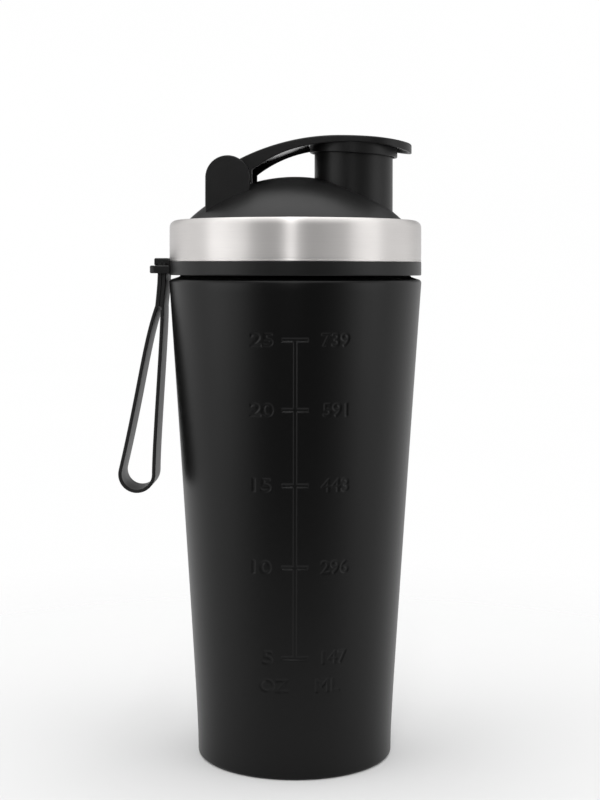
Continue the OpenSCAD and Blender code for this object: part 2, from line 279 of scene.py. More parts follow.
def inset(outline, d):
    """A closed outline moved inwards by d, for outlines that run anticlockwise."""
    pts = np.array(outline, float)
    along = np.roll(pts, -1, 0) - pts
    along /= np.linalg.norm(along, axis=1)[:, None]
    normal = np.stack([-along[:, 1], along[:, 0]], 1)
    before = np.roll(normal, 1, 0)
    middle = (normal + before) / (1 + (normal * before).sum(1))[:, None]
    return pts + d * middle


def rounded_box(half_x, half_y, r, n=5):
    """Outline of a rectangle about the origin with rounded corners."""
    x, y = half_x - r, half_y - r
    quarters = ((x, y, 0), (-x, y, 90), (-x, -y, 180), (x, -y, 270))
    return [p for cx, cy, a in quarters for p in arc(cx, cy, r, a, a + 90, n)]


def hinge_circle(r, n):
    """Closed outline of n points about the hinge's axis."""
    return arc(HINGE_X, HINGE_Z, r, 0, 360, n)[:-1]


# ---------------------------------------------------------------- mesh building
def piece(name, points, faces, materials, face_material=None, sharp=32):
    """A mesh object from points in millimetres."""
    mesh = bpy.data.meshes.new(name)
    mesh.from_pydata((np.asarray(points, float) * MM).tolist(), [], faces)
    for m in materials:
        mesh.materials.append(m)
    if face_material is not None:
        mesh.polygons.foreach_set("material_index", face_material)
    obj = bpy.data.objects.new(name, mesh)
    bpy.context.scene.collection.objects.link(obj)
    smooth(obj, sharp)
    return obj


def smooth(obj, sharp=32):
    """Smooth shading with crisp edges where faces meet at more than this angle."""
    bm = bmesh.new()
    bm.from_mesh(obj.data)
    bmesh.ops.recalc_face_normals(bm, faces=bm.faces)
    bm.to_mesh(obj.data)
    bm.free()
    obj.data.shade_smooth()
    obj.data.set_sharp_from_angle(angle=radians(sharp))


def ring_faces(rows, columns, close_rows=True):
    """Quads over rows of points that run in closed rings. The last row joins the first one where
    close_rows is set."""
    r = np.arange(rows if close_rows else rows - 1)
    r, c = (a.ravel() for a in np.meshgrid(r, np.arange(columns), indexing="ij"))
    r2, c2 = (r + 1) % rows, (c + 1) % columns
    quads = np.stack([r * columns + c, r * columns + c2, r2 * columns + c2, r2 * columns + c], 1)
    return quads.tolist()


def tube_faces(rows, columns):
    """Quads over rings of points, with a face over each end."""
    faces = ring_faces(rows, columns, close_rows=False)
    last = (rows - 1) * columns
    return faces + [list(range(columns)), list(range(last, last + columns))]


def revolved(name, profile, materials, segments=160, row_material=None, centre=(0, 0), turn=None):
    """A solid of revolution about a vertical axis. The profile is a closed line of (radius,
    height), and points on the axis become poles. The material of row k is that of the strip from
    point k to k + 1."""
    turn = np.linspace(0, 2 * pi, segments, endpoint=False) if turn is None else turn
    r = np.array([p[0] for p in profile])[:, None]
    z = np.array([p[1] for p in profile])[:, None]
    x = centre[0] + r * np.cos(turn)
    y = centre[1] + r * np.sin(turn)
    points = np.stack([x, y, np.broadcast_to(z, x.shape)], -1).reshape(-1, 3)
    faces = ring_faces(len(profile), len(turn))
    marks = None if row_material is None else np.repeat(row_material, len(turn)).tolist()
    obj = piece(name, points, faces, materials, marks)
    if min(p[0] for p in profile) < 1e-6:
        weld(obj)
    return obj


def weld(obj):
    """Merges points that coincide, and drops what collapses with them."""
    bm = bmesh.new()
    bm.from_mesh(obj.data)
    bmesh.ops.remove_doubles(bm, verts=bm.verts, dist=0.002 * MM)
    bmesh.ops.dissolve_degenerate(bm, edges=bm.edges, dist=0.0005 * MM)
    inner = [f for f in bm.faces if all(abs(v.co.x) + abs(v.co.y) < 1e-7 for v in f.verts)]
    bmesh.ops.delete(bm, geom=inner, context="FACES")
    bm.to_mesh(obj.data)
    bm.free()
    smooth(obj)


def prism(name, outline, low, high, materials, axis="y", rounding=0.4, steps=4, rows=1):
    """A closed outline extruded from low to high, with rounded edges. Along y the outline is
    (x, z), along z it is (x, y)."""
    area = sum(a[0] * b[1] - b[0] * a[1] for a, b in zip(outline, outline[1:] + outline[:1]))
    if area < 0:
        outline = outline[::-1]
    turns = np.linspace(0, pi / 2, steps + 1) if rounding else (0.0,)
    edge = [(rounding * (1 - sin(a)), rounding * (1 - cos(a))) for a in turns]
    levels = [(low + d, e) for d, e in reversed(edge)]
    levels += [(lerp(low + rounding, high - rounding, i / rows), 0) for i in range(1, rows)]
    levels += [(high - d, e) for d, e in edge]
    points = []
    for h, e in levels:
        for u, v in inset(outline, e) if e else outline:
            points.append((u, h, v) if axis == "y" else (u, v, h))
    return piece(name, points, tube_faces(len(levels), len(outline)), materials)


def apply_modifiers(obj):
    """Turns what the modifiers make into the object's own mesh."""
    graph = bpy.context.evaluated_depsgraph_get()
    mesh = bpy.data.meshes.new_from_object(obj.evaluated_get(graph))
    obj.modifiers.clear()
    old, obj.data = obj.data, mesh
    bpy.data.meshes.remove(old)


def join_shape(obj, other, how="UNION"):
    """Adds another solid to obj, or cuts it away, and removes the other one."""
    step = obj.modifiers.new(how, "BOOLEAN")
    step.operation = how
    step.solver = "EXACT"
    step.object = other
    apply_modifiers(obj)
    bpy.data.objects.remove(other)
    return obj


def cut(obj, tool):
    """Cuts the tool's shape away from obj, and removes the tool."""
    return join_shape(obj, tool, "DIFFERENCE")


def finish_shape(obj, sharp=32):
    """Shading after the last cut: crisp creases, and flat faces that stay flat by round ones."""
    smooth(obj, sharp)
    step = obj.modifiers.new("weights", "WEIGHTED_NORMAL")
    step.keep_sharp = True
    apply_modifiers(obj)
    return obj


# ---------------------------------------------------------------- materials
class Graph:
    """A material's node tree, with short ways to add nodes."""

    def __init__(self, name):
        self.material = bpy.data.materials.new(name)
        self.material.use_nodes = True
        self.nodes = self.material.node_tree.nodes
        self.links = self.material.node_tree.links
        self.shader = next(n for n in self.nodes if n.type == "BSDF_PRINCIPLED")

    def add(self, kind, **settings):
        node = self.nodes.new(kind)
        for key, value in settings.items():
            setattr(node, key, value)
        return node

    def link(self, source, node, socket):
        self.links.new(source, node.inputs[socket])

    def place(self, scale=(1, 1, 1)):
        """Object coordinates, in metres, times a scale."""
        where = self.add("ShaderNodeTexCoord")
        move = self.add("ShaderNodeMapping")
        move.inputs["Scale"].default_value = scale
        self.link(where.outputs["Object"], move, "Vector")
        return move.outputs["Vector"]

    def noise(self, place, scale, detail=2.0, roughness=0.5):
        node = self.add("ShaderNodeTexNoise")
        for key, value in (("Scale", scale), ("Detail", detail), ("Roughness", roughness)):
            node.inputs[key].default_value = value
        self.link(place, node, "Vector")
        return node.outputs["Fac"]

    def remap(self, source, low, high, to_low, to_high):
        node = self.add("ShaderNodeMapRange")
        ends = {"From Min": low, "From Max": high, "To Min": to_low, "To Max": to_high}
        for key, value in ends.items():
            node.inputs[key].default_value = value
        self.link(source, node, "Value")
        return node.outputs["Result"]

    def math(self, how, a, b):
        """A math node on two sockets, or on a socket and a number."""
        node = self.add("ShaderNodeMath", operation=how)
        for i, value in enumerate((a, b)):
            if isinstance(value, (int, float)):
                node.inputs[i].default_value = value
            else:
                self.link(value, node, i)
        return node.outputs[0]

    def ramp(self, source, stops):
        """A colour ramp with two stops."""
        node = self.add("ShaderNodeValToRGB")
        for i, (at, colour) in enumerate(stops):
            stop = node.color_ramp.elements[i]
            stop.position = at
            stop.color = (*colour, 1)
        self.link(source, node, "Fac")
        return node.outputs["Color"]

    def set(self, **values):
        """Uniform values, on the shader's own sockets."""
        for key, value in values.items():
            self.shader.inputs[key.replace("_", " ")].default_value = value

    def tone(self, source, dark, light, low=0.3, high=0.7, socket="Base Color"):
        """A colour that follows a noise."""
        self.link(self.ramp(source, ((low, dark), (high, light))), self.shader, socket)

    def rough(self, source, least, most):
        """Roughness that follows a noise."""
        self.link(self.remap(source, 0.3, 0.7, least, most), self.shader, "Roughness")

    def bump(self, height, strength, distance):
        """Fine relief; the distance is in metres."""
        node = self.add("ShaderNodeBump")
        node.inputs["Strength"].default_value = strength
        node.inputs["Distance"].default_value = distance
        self.link(height, node, "Height")
        self.link(node.outputs["Normal"], self.shader, "Normal")

    def brush_around(self):
        """Turns the anisotropic gloss around the vertical axis."""
        tangent = self.add("ShaderNodeTangent", direction_type="RADIAL", axis="Z")
        self.link(tangent.outputs["Tangent"], self.shader, "Tangent")


def grey(v):
    return (v, v, v)


def powder_coat():
    """Matt black powder coat with a fine orange-peel texture."""
    g = Graph("powder_coat")
    place = g.place()
    g.set(Specular_IOR_Level=0.25)
    peel = g.noise(place, 2600, 3.0, 0.55)
    g.tone(g.noise(place, 60), grey(0.0008), grey(0.0012), 0.25, 0.75)
    g.rough(peel, 0.33, 0.39)
    g.bump(peel, 0.25, 0.00004)
    return g.material


def moulded(name, tone, rough, specular=0.35, grain=0.35):
    """Black moulded plastic with the fine spark-eroded grain of the mould."""
    g = Graph(name)
    place = g.place()
    g.set(Specular_IOR_Level=specular)
    spots = g.add("ShaderNodeTexVoronoi")
    spots.inputs["Scale"].default_value = 3000
    g.link(place, spots, "Vector")
    fine = g.noise(place, 5200, 2.0, 0.6)
    g.tone(g.noise(place, 90, 3.0), grey(tone * 0.88), grey(tone * 1.12))
    g.rough(fine, rough - 0.04, rough + 0.05)
    g.bump(g.math("ADD", spots.outputs["Distance"], fine), grain, 0.00003)
    return g.material


def brushed_steel():
    """Stainless steel brushed around the axis, with long fine strokes."""
    g = Graph("brushed_steel")
    g.set(Metallic=1.0, Anisotropic=1.0, Anisotropic_Rotation=0.25)
    long_lines = g.noise(g.place((30, 30, 7000)), 1.0, 3.0, 0.6)
    short_lines = g.noise(g.place((160, 160, 14000)), 1.0)
    lines = g.math("ADD", long_lines, short_lines)
    dark, light = (0.910, 0.882, 0.864), (0.950, 0.922, 0.904)
    g.tone(g.math("MULTIPLY", lines, 0.5), dark, light, 0.35, 0.65)
    g.rough(g.noise(g.place((25, 25, 90)), 1.0, 3.0, 0.55), 0.49, 0.53)
    g.bump(lines, 0.03, 0.00001)
    g.brush_around()
    return g.material


def satin_steel():
    """Bare drawn steel inside the cup: soft circular lines and a cloudy satin finish."""
    g = Graph("satin_steel")
    g.set(Metallic=1.0, Anisotropic=0.4, Anisotropic_Rotation=0.25)
    lines = g.noise(g.place((60, 60, 5000)), 1.0, 3.0, 0.6)
    cloud = g.noise(g.place(), 70, 4.0, 0.6)
    g.tone(cloud, (0.50, 0.49, 0.48), (0.60, 0.59, 0.575))
    g.rough(cloud, 0.30, 0.42)
    g.bump(lines, 0.10, 0.00002)
    g.brush_around()
    return g.material


def silicone(name, tone, rough):
    """Soft black silicone: an even satin skin with faint flow marks."""
    g = Graph(name)
    g.set(Specular_IOR_Level=0.45, Sheen_Weight=0.05, Sheen_Roughness=0.5)
    fine = g.noise(g.place(), 3800)
    flow = g.noise(g.place((60, 60, 20)), 1.0, 3.0)
    g.tone(flow, grey(tone * 0.85), grey(tone * 1.2))
    g.rough(flow, rough - 0.04, rough + 0.06)
    g.bump(fine, 0.15, 0.00002)
    return g.material


coat = powder_coat()
plastic = moulded("lid_plastic", 0.0105, 0.38, specular=0.22, grain=0.55)
gloss_plastic = moulded("inner_face_plastic", 0.004, 0.2, specular=0.5, grain=0.08)
inner_plastic = moulded("mesh_plastic", 0.006, 0.42)
band_steel = brushed_steel()
bare_steel = satin_steel()
seal_rubber = silicone("seal_silicone", 0.008, 0.5)
strap_rubber = silicone("strap_silicone", 0.004, 0.44)


# ---------------------------------------------------------------- figures of the volume scale
def figure_edges(text, height, width_share):
    """Edges of a line of text, centred on the origin, as an (n, 2, 2) array in millimetres."""
    curve = bpy.data.curves.new("figures", "FONT")
    curve.body = text
    curve.resolution_u = 5
    holder = bpy.data.objects.new("figures", curve)
    mesh = bpy.data.meshes.new_from_object(holder)
    uses = {}
    for face in mesh.polygons:
        for key in face.edge_keys:
            uses[key] = uses.get(key, 0) + 1
    co = np.array([v.co[:2] for v in mesh.vertices])
    size = co.max(0) - co.min(0)
    digit = height / size[1]
    co = (co - (co.max(0) + co.min(0)) / 2) * (digit * width_share, digit)
    edges = np.array([(co[a], co[b]) for (a, b), n in uses.items() if n == 1])
    bpy.data.objects.remove(holder)
    bpy.data.curves.remove(curve)
    bpy.data.meshes.remove(mesh)
    return edges


def depth_inside(points, edges):
    """Signed distance of each point to a closed outline of edges: positive inside."""
    a, b = edges[:, 0], edges[:, 1]
    along = b - a
    length2 = (along ** 2).sum(1)
    climb = np.where(along[:, 1] == 0, 1e-12, along[:, 1])
    away = np.full(len(points), 1e9)
    crossings = np.zeros(len(points), int)
    batch = 4000
    for start in range(0, len(points), batch):
        p = points[start:start + batch, None, :]
        t = np.clip(((p - a) * along).sum(2) / length2, 0, 1)
        gap = np.linalg.norm(p - a - t[..., None] * along, axis=2)
        away[start:start + batch] = gap.min(1)
        over = (a[:, 1] > p[..., 1]) != (b[:, 1] > p[..., 1])
        at = a[:, 0] + (p[..., 1] - a[:, 1]) / climb * along[:, 0]
        crossings[start:start + batch] = (over & (p[..., 0] < at)).sum(1)
    return np.where(crossings % 2 == 1, away, -away)


def rectangle_depth(s, z, half_s, half_z):
    """Signed distance to a rectangle about the origin: positive inside."""
    ds, dz = np.abs(s) - half_s, np.abs(z) - half_z
    outside = np.hypot(np.maximum(ds, 0), np.maximum(dz, 0))
    return -(outside + np.minimum(np.maximum(ds, dz), 0))


mark_z = [level(MARK_ML * (i + 1)) for i in range(len(MARKS))]
units_z = mark_z[0] - UNITS_DROP

# text, place around the wall, height, stretch
figure_list = []
for (ounces, _), z in zip(MARKS, mark_z):
    figure_list.append((str(ounces), OUNCES_AT if ounces > 9 else SHORT_OUNCES_AT, z, OUNCES_WIDE))
for (_, millilitres), z in zip(MARKS, mark_z):
    figure_list.append((str(millilitres), MILLILITRES_AT, z, MILLILITRES_WIDE))
figure_list += [("OZ", OZ_AT, units_z, UNITS_WIDE), ("ML", ML_AT, units_z, UNITS_WIDE)]


def scale_depth(s, z):
    """How far inside the pressed lines, and inside the figures, each point of the wall is, in
    millimetres: s runs around the wall from the middle of the scale, z is the height."""
    middle, half = (mark_z[0] + mark_z[-1]) / 2, (mark_z[-1] - mark_z[0]) / 2
    lines = rectangle_depth(s, z - middle, DASH_H / 2, half)
    for z0 in mark_z:
        lines = np.maximum(lines, rectangle_depth(s, z - z0, DASH_W / 2, DASH_H / 2))
    figures = np.full(len(s), -1e9)
    for text, s0, z0, share in figure_list:
        edges = figure_edges(text, FIGURE_H, share)
        reach = np.abs(edges).max((0, 1)) + 1
        near = (np.abs(s - s0) < reach[0]) & (np.abs(z - z0) < reach[1])
        local = np.stack([s[near] - s0, z[near] - z0], 1)
        figures[near] = np.maximum(figures[near], depth_inside(local, edges) + FIGURE_BOLD)
    return lines, figures


# ---------------------------------------------------------------- cup
def thread_ridge(name, wall_r, height, crest, z, start, side, materials):
    """A helical ridge on a round wall that fades in and out. It stands out of the wall where side
    is 1, and into the bore where side is -1."""
    whole = THREAD_TURNS * 360
    count = round(whole / THREAD_STEP)
    points = []
    for i in range(count + 1):
        a = i * THREAD_STEP
        rise = max(0.02, min(1, a / THREAD_FADE, (whole - a) / THREAD_FADE))
        lower = [(-0.3, -THREAD_ROOT / 2), (0, -THREAD_ROOT / 2),
                 (height * rise * 0.75, -crest / 2 - 0.12), (height * rise, -crest / 2 + 0.1)]
        section = lower + [(h, -w) for h, w in reversed(lower)]
        t = radians(a + start)
        up = z + THREAD_LEAD * (a + start) / 360
        for h, w in section:
            r = wall_r + side * h
            points.append((r * cos(t), r * sin(t), up + w))
    return piece(name, points, tube_faces(count + 1, len(section)), materials, sharp=50)


def cup_rows():
    """Heights of the outer wall's rows: close together over the figures, wide apart elsewhere."""
    fine, coarse = ((0.2, 3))
    stops = [8.0]
    for z in [units_z] + mark_z:
        stops += spread(stops[-1], z - FIGURE_REACH, coarse)[1:]
        stops += spread(z - FIGURE_REACH, z + FIGURE_REACH, fine)[1:]
    return stops + spread(stops[-1], SHOULDER_Z, coarse)[1:]


def cup_turns():
    """Angles of the cup's columns: close together over the figures."""
    fine, side = ((0.27, SCALE_SIDE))
    middle = -90 + SCALE_TURN
    near = spread(middle - side, middle + side, fine)
    far = spread(middle + side, middle - side + 360, 2.5)[1:-1]
    return np.radians(near + far)


def make_cup():
    """The wall as one closed profile, from the foot up the outside and back down the inside."""
    edge_x = cup_r(SHOULDER_Z) - SHOULDER_ROUND
    slope = radians(SHOULDER_SLOPE)
    fillet_x = NECK_R + NECK_FILLET
    fillet_z = SHOULDER_Z + (SHOULDER_ROUND + NECK_FILLET) / cos(slope)
    fillet_z += (edge_x - NECK_R - NECK_FILLET) * tan(slope)
    foot_x = FOOT_R - FOOT_ROUND
    lip = WALL_T / 2
    shoulder_end, fillet_start = 90 - SHOULDER_SLOPE, 270 - SHOULDER_SLOPE

    coated = arc(FOOT_RING_IN, lip, lip, 90, 270, 6) + [(foot_x, 0)]
    coated += arc(foot_x, FOOT_ROUND, FOOT_ROUND, -90, 0, 7)[1:]
    coated += [(cup_r(z), z) for z in [2.4, 4.2, 6] + cup_rows()]
    coated += arc(edge_x, SHOULDER_Z, SHOULDER_ROUND, 15, shoulder_end, 6)
    last_x, last_z = coated[-1]
    half_x = lerp(last_x, fillet_x, 0.5)
    coated += [(half_x, last_z + (last_x - half_x) * tan(slope))]
    coated += arc(fillet_x, fillet_z, NECK_FILLET, fillet_start, 180, 5)

    bare = [(NECK_R, z) for z in spread(fillet_z, LIP_Z - lip, 2.0)[1:]]
    bare += arc(NECK_R - lip, LIP_Z - lip, lip, 0, 180, 8)[1:]
    bare += [(NECK_R - WALL_T, z) for z in spread(LIP_Z - lip, fillet_z, 3.0)[1:-1]]
    bare += arc(fillet_x, fillet_z, NECK_FILLET + WALL_T, 180, fillet_start, 5)
    bare += arc(edge_x, SHOULDER_Z, SHOULDER_ROUND - WALL_T, shoulder_end, 0, 5)
    bare += [(cup_r(z) - WALL_T, z) for z in spread(SHOULDER_Z - 3, 8, 5.0)]

    hidden = [(FOOT_R - WALL_T, 6), (FOOT_R - WALL_T, 3)]
    hidden += arc(foot_x, FOOT_ROUND, FOOT_ROUND - WALL_T, 0, -90, 6)
    rows = [0] * len(coated) + [1] * (len(bare) - 1) + [0] * (len(hidden) + 1)

    steels = (coat, bare_steel)
    profile = coated + bare + hidden
    obj = revolved("cup_wall", profile, steels, row_material=rows, turn=cup_turns())
    press_scale(obj)
    ridge = thread_ridge("neck_thread", NECK_R, height=0.8, crest=0.9, z=NECK_THREAD_Z, start=0,
                         side=1, materials=steels)
    obj = join_shape(obj, ridge)
    for face in obj.data.polygons:
        if face.center.z > BARE_Z * MM:
            face.material_index = 1
    smooth(obj, 40)
    return obj


def press_scale(obj):
    """Presses the volume scale into the front of the wall."""
    co = np.empty(len(obj.data.vertices) * 3)
    obj.data.vertices.foreach_get("co", co)
    co = co.reshape(-1, 3) / MM
    z = co[:, 2]
    r = np.hypot(co[:, 0], co[:, 1])
    turn = np.degrees(np.arctan2(co[:, 1], co[:, 0])) + 90 - SCALE_TURN
    outer = np.abs(r - np.array([cup_r(h) for h in z])) < 0.01
    near = outer & (np.abs(turn) < SCALE_SIDE) & (z > units_z - 4) & (z < mark_z[-1] + 4)
    s = np.radians(turn[near]) * r[near]
    press = 0
    for inside, depth in zip(scale_depth(s, z[near]), (MARK_DEPTH, FIGURE_DEPTH)):
        t = np.clip((inside + PRESS_SOFT) / (2 * PRESS_SOFT), 0, 1)
        press = np.maximum(press, depth * t * t * (3 - 2 * t))
    co[near, :2] *= ((r[near] - press) / r[near])[:, None]
    obj.data.vertices.foreach_set("co", (co * MM).ravel())
    obj.data.update()
    smooth(obj, 50)


def make_cup_floor():
    """The welded floor: a shallow pan with a rounded corner and a faint hollow in its middle."""
    r = FOOT_R - WALL_T
    skirt_z = FOOT_ROUND + 0.2
    under_z = FLOOR_Z - FLOOR_T
    top = [(x, FLOOR_Z - drop) for x, drop in FLOOR_DIP] + [(20, FLOOR_Z), (FLOOR_EDGE, FLOOR_Z)]
    top += arc(r - FLOOR_ROUND, FLOOR_Z - FLOOR_ROUND, FLOOR_ROUND, 90, 0, 6)
    low = [(r, skirt_z)] + arc(r - FLOOR_T / 2, skirt_z, FLOOR_T / 2, 0, -180, 6)[1:-1]
    low += [(r - FLOOR_T, skirt_z)]
    low += arc(r - FLOOR_ROUND, FLOOR_Z - FLOOR_ROUND, FLOOR_ROUND - FLOOR_T, 0, 90, 5)
    low += [(FLOOR_EDGE, under_z)] + [(x, under_z - drop) for x, drop in reversed(FLOOR_DIP)]
    rows = [1] * len(top) + [0] * len(low)
    return revolved("cup_floor", top + low, (coat, bare_steel), 128, rows)


# ---------------------------------------------------------------- lid
def dome_height(x, y, r):
    """Height, over a point of the plan, of a sphere about the dome's centre."""
    return DOME_Z + np.sqrt(np.maximum(r * r - x * x - y * y, 0))


def dome_arc(r, from_radius, n):
    """Points up a sphere about the dome's centre, from a radius on the plan to the pole."""
    start = degrees(np.arccos(from_radius / r))
    return arc(0, DOME_Z, r, start, 90, n)


def make_lid_shell():
    rim = BAND_R - BAND_T - SNUG
    flange_z = BAND_TOP - BAND_T - SNUG
    corner = BAND_ROUND - BAND_T
    skirt_r = COLLAR_IN - 0.05
    outer = [(SKIRT_IN + 0.3, SKIRT_LOW), (skirt_r, SKIRT_LOW), (skirt_r, BAND_Z + SNUG)]
    outer += [(rim, BAND_Z + SNUG)] + arc(rim - corner, flange_z - corner, corner, 0, 90, 6)
    outer += [(BAND_HOLE_R, flange_z), (BAND_HOLE_R - 0.02, BAND_TOP - 0.25)]
    outer += dome_arc(DOME_R, BAND_HOLE_R - 0.15, 56)[:-1] + [(0, DOME_Z + DOME_R)]
    obj = revolved("lid_dome", outer + [(0, SKIRT_LOW)], (plastic,), 192)

    obj = join_shape(obj, spout_solid())
    for side in (-1, 1):
        obj = join_shape(obj, ear(side))

    below = SKIRT_LOW - 2
    inner = [(0, DOME_Z + DOME_IN)] + dome_arc(DOME_IN, SPIGOT_IN, 30)[::-1][1:]
    inner += [(SPIGOT_IN, SPIGOT_LOW), (SPIGOT_IN, below), (0, below)]
    cavity = revolved("cavity", inner, (plastic,), 128)
    obj = cut(obj, keep_trough_wall(cavity))
    groove = [(SPIGOT_OUT, below), (SPIGOT_OUT, GASKET_TOP), (SKIRT_IN, GASKET_TOP)]
    obj = cut(obj, revolved("groove", groove + [(SKIRT_IN, below)], (plastic,), 192))
    spigot_end = [(SPIGOT_IN - 1, below), (SPIGOT_IN - 1, SPIGOT_LOW)]
    spigot_end += [(SPIGOT_OUT + 1, SPIGOT_LOW), (SPIGOT_OUT + 1, below)]
    obj = cut(obj, revolved("spigot_end", spigot_end, (plastic,), 192))

    low, high = BORE_ENDS
    bore = [(0, low), (SPOUT_IN, low), (SPOUT_IN, high), (0, high)]
    obj = cut(obj, revolved("bore", bore, (plastic,), 128, centre=(SPOUT_X, 0)))
    trough = hinge_circle(BARREL_R + 0.5, 72)
    obj = cut(obj, prism("trough", trough, -EAR_IN, EAR_IN, (plastic,), rounding=0))
    socket, end = hinge_circle(TRUNNION_R + 0.08, 48), TRUNNION_END + 0.2
    obj = cut(obj, prism("socket", socket, -end, end, (plastic,), rounding=0))
    return finish_shape(obj)


def keep_trough_wall(cavity):
    """Leaves the hinge trough's wall out of the shape that hollows the dome."""
    circle, half = hinge_circle(BARREL_R + 2.5, 64), EAR_IN + 2
    return cut(cavity, prism("keep", circle, -half, half, (plastic,), rounding=0))


def tilt_drop(x):
    """How much the tilted rim has fallen at x."""
    return (x - SPOUT_X) * tan(radians(RIM_TILT))


def spout_solid():
    """The spout as a plug, whose rim tilts down towards the front."""
    edge = 0.45
    profile = [(0, SPOUT_FOOT)] + [(SPOUT_R, z) for z in spread(SPOUT_FOOT, SPOUT_RIM - 1.5, 4)]
    profile += arc(SPOUT_R - edge, SPOUT_RIM - edge, edge, 0, 90, 5)
    profile += [(SPOUT_IN + 0.35, SPOUT_RIM), (SPOUT_IN + 0.1, SPOUT_RIM - 0.1)]
    profile += [(SPOUT_IN - 0.5, SPOUT_RIM - 0.5), (0, SPOUT_RIM - 0.5)]
    obj = revolved("spout", profile, (plastic,), 128, centre=(SPOUT_X, 0))
    for v in obj.data.vertices:
        if v.co.z > (SPOUT_RIM - 2) * MM:
            v.co.z -= tilt_drop(v.co.x / MM) * MM
    return obj


def ear(side):
    """One hinge ear: round on top, with straight sides down into the dome."""
    heights = (208, 203, EAR_FOOT)
    outline = arc(HINGE_X, HINGE_Z, EAR_R, 0, 180, 40)
    outline += [(HINGE_X - EAR_R, z) for z in heights]
    outline += [(HINGE_X + EAR_R, z) for z in reversed(heights)]
    low, high = sorted((side * EAR_IN, side * EAR_OUT))
    return prism("ear", outline, low, high, (plastic,), rounding=0.55, steps=5)


def make_lid_thread():
    return thread_ridge("lid_thread", SKIRT_IN, height=0.9, crest=0.8, z=LID_THREAD_Z,
                        start=LID_THREAD_START, side=-1, materials=(plastic,))


def make_band():
    """The steel band: a spun ring with a rolled lower hem, a faint groove above the hem, and a
    flat top flange."""
    hem, lip_r, corner = 0.32, BAND_HOLE_R + 0.25, BAND_ROUND - BAND_T
    groove = ((0.02, 0.55), (0.10, 0.75), (0.10, 0.95), (0.03, 1.15))  # depth, height
    round_x, round_z = BAND_R - BAND_ROUND, BAND_TOP - BAND_ROUND
    profile = [(BAND_R - BAND_T, BAND_Z + 0.12)]
    profile += arc(BAND_R - hem, BAND_Z + hem, hem, -90, 0, 6)
    profile += [(BAND_R - depth, BAND_Z + up) for depth, up in groove]
    profile += [(BAND_R, z) for z in spread(BAND_Z + 1.6, round_z, 2)]
    profile += arc(round_x, round_z, BAND_ROUND, 0, 90, 14)[1:] + [(42.2, BAND_TOP)]
    profile += [(lip_r, BAND_TOP)] + arc(lip_r, BAND_TOP - 0.2, 0.2, 90, 180, 4)[1:]
    profile += [(BAND_HOLE_R + 0.05, BAND_TOP - BAND_T)]
    profile += arc(round_x, round_z, corner, 90, 0, 8)
    return revolved("steel_band", profile, (band_steel,), 240)


def make_collar():
    """The black collar under the band, with the lug that the strap hangs from."""
    edge = 0.45
    profile = arc(COLLAR_OUT - edge, COLLAR_LOW + edge, edge, -90, 0, 5)
    profile += [(COLLAR_OUT, BAND_Z - 0.35), (COLLAR_OUT - 0.12, BAND_Z - 0.02)]
    profile += [(COLLAR_IN + 0.1, BAND_Z - 0.02), (COLLAR_IN, BAND_Z - 0.2)]
    profile += [(COLLAR_IN, COLLAR_LOW + 0.2), (COLLAR_IN + 0.2, COLLAR_LOW)]
    obj = join_shape(revolved("collar", profile, (plastic,), 240), strap_lug())

    low, high = STEM_X - STEM_T / 2 - 0.2, -COLLAR_OUT + 0.02
    half = (high - low) / 2
    slot = [(x + low + half, y) for x, y in rounded_box(half, STRAP_HALF + 0.2, 0.5)]
    ends = (LUG_LOW - 1, LUG_TOP + 1)
    obj = cut(obj, prism("slot", slot, *ends, (plastic,), axis="z", rounding=0))
    return finish_shape(obj, 35)


def strap_lug():
    """The lug outside the collar: a flat plate with rounded corners and an arc for its end."""
    half = LUG_HALF - LUG_ROUND
    reach = sqrt((LUG_OUT - LUG_ROUND) ** 2 - half ** 2)
    turn = degrees(atan2(half, reach))
    outline = [(-LUG_IN, -LUG_HALF), (-LUG_IN, LUG_HALF)]
    outline += arc(-reach, half, LUG_ROUND, 90, 180 - turn, 6)
    outline += arc(0, 0, LUG_OUT, 180 - turn, 180 + turn, 24)[1:-1]
    outline += arc(-reach, -half, LUG_ROUND, 180 + turn, 270, 6)
    lug = prism("lug", outline, LUG_LOW, LUG_TOP, (plastic,), axis="z", rounding=0.5)
    low, high, r = LUG_LOW - 1, LUG_TOP + 1, COLLAR_OUT - 0.3
    inside = [(0, low), (r, low), (r, high), (0, high)]
    return cut(lug, revolved("inside", inside, (plastic,), 240))


# ---------------------------------------------------------------- flip cap
def arm_high(x):
    """Height of the cap's top."""
    r = np.where(x < ARM_PEAK_X, ARM_BACK_R, ARM_FRONT_R)
    return ARM_TOP - r + np.sqrt(r * r - (x - ARM_PEAK_X) ** 2)


def arm_low(x):
    """Height of the rim's lower edge: two arcs, with a steep front at the root."""
    front_x, front_z, front_r = RIM_FRONT
    bend_x, bend_z, bend_r = RIM_BEND
    front = front_z - front_r + np.sqrt(front_r ** 2 - (x - front_x) ** 2)
    bend = bend_z + np.sqrt(bend_r ** 2 - (np.minimum(x, 30) - bend_x) ** 2)
    root = ROOT_LOW + (ROOT_X - x) * ROOT_SLOPE
    return np.where(x > RIM_JOIN_X, front, np.where(x > ROOT_X, bend, root))


def plate_low(x):
    """Height of the plate's underside: a straight slope from the root up to a step."""
    if x > PLATE_STEP_X:
        return float(arm_high(x)) - PLATE_T
    return PLATE_ROOT[1] + PLATE_SLOPE * (x - PLATE_ROOT[0])


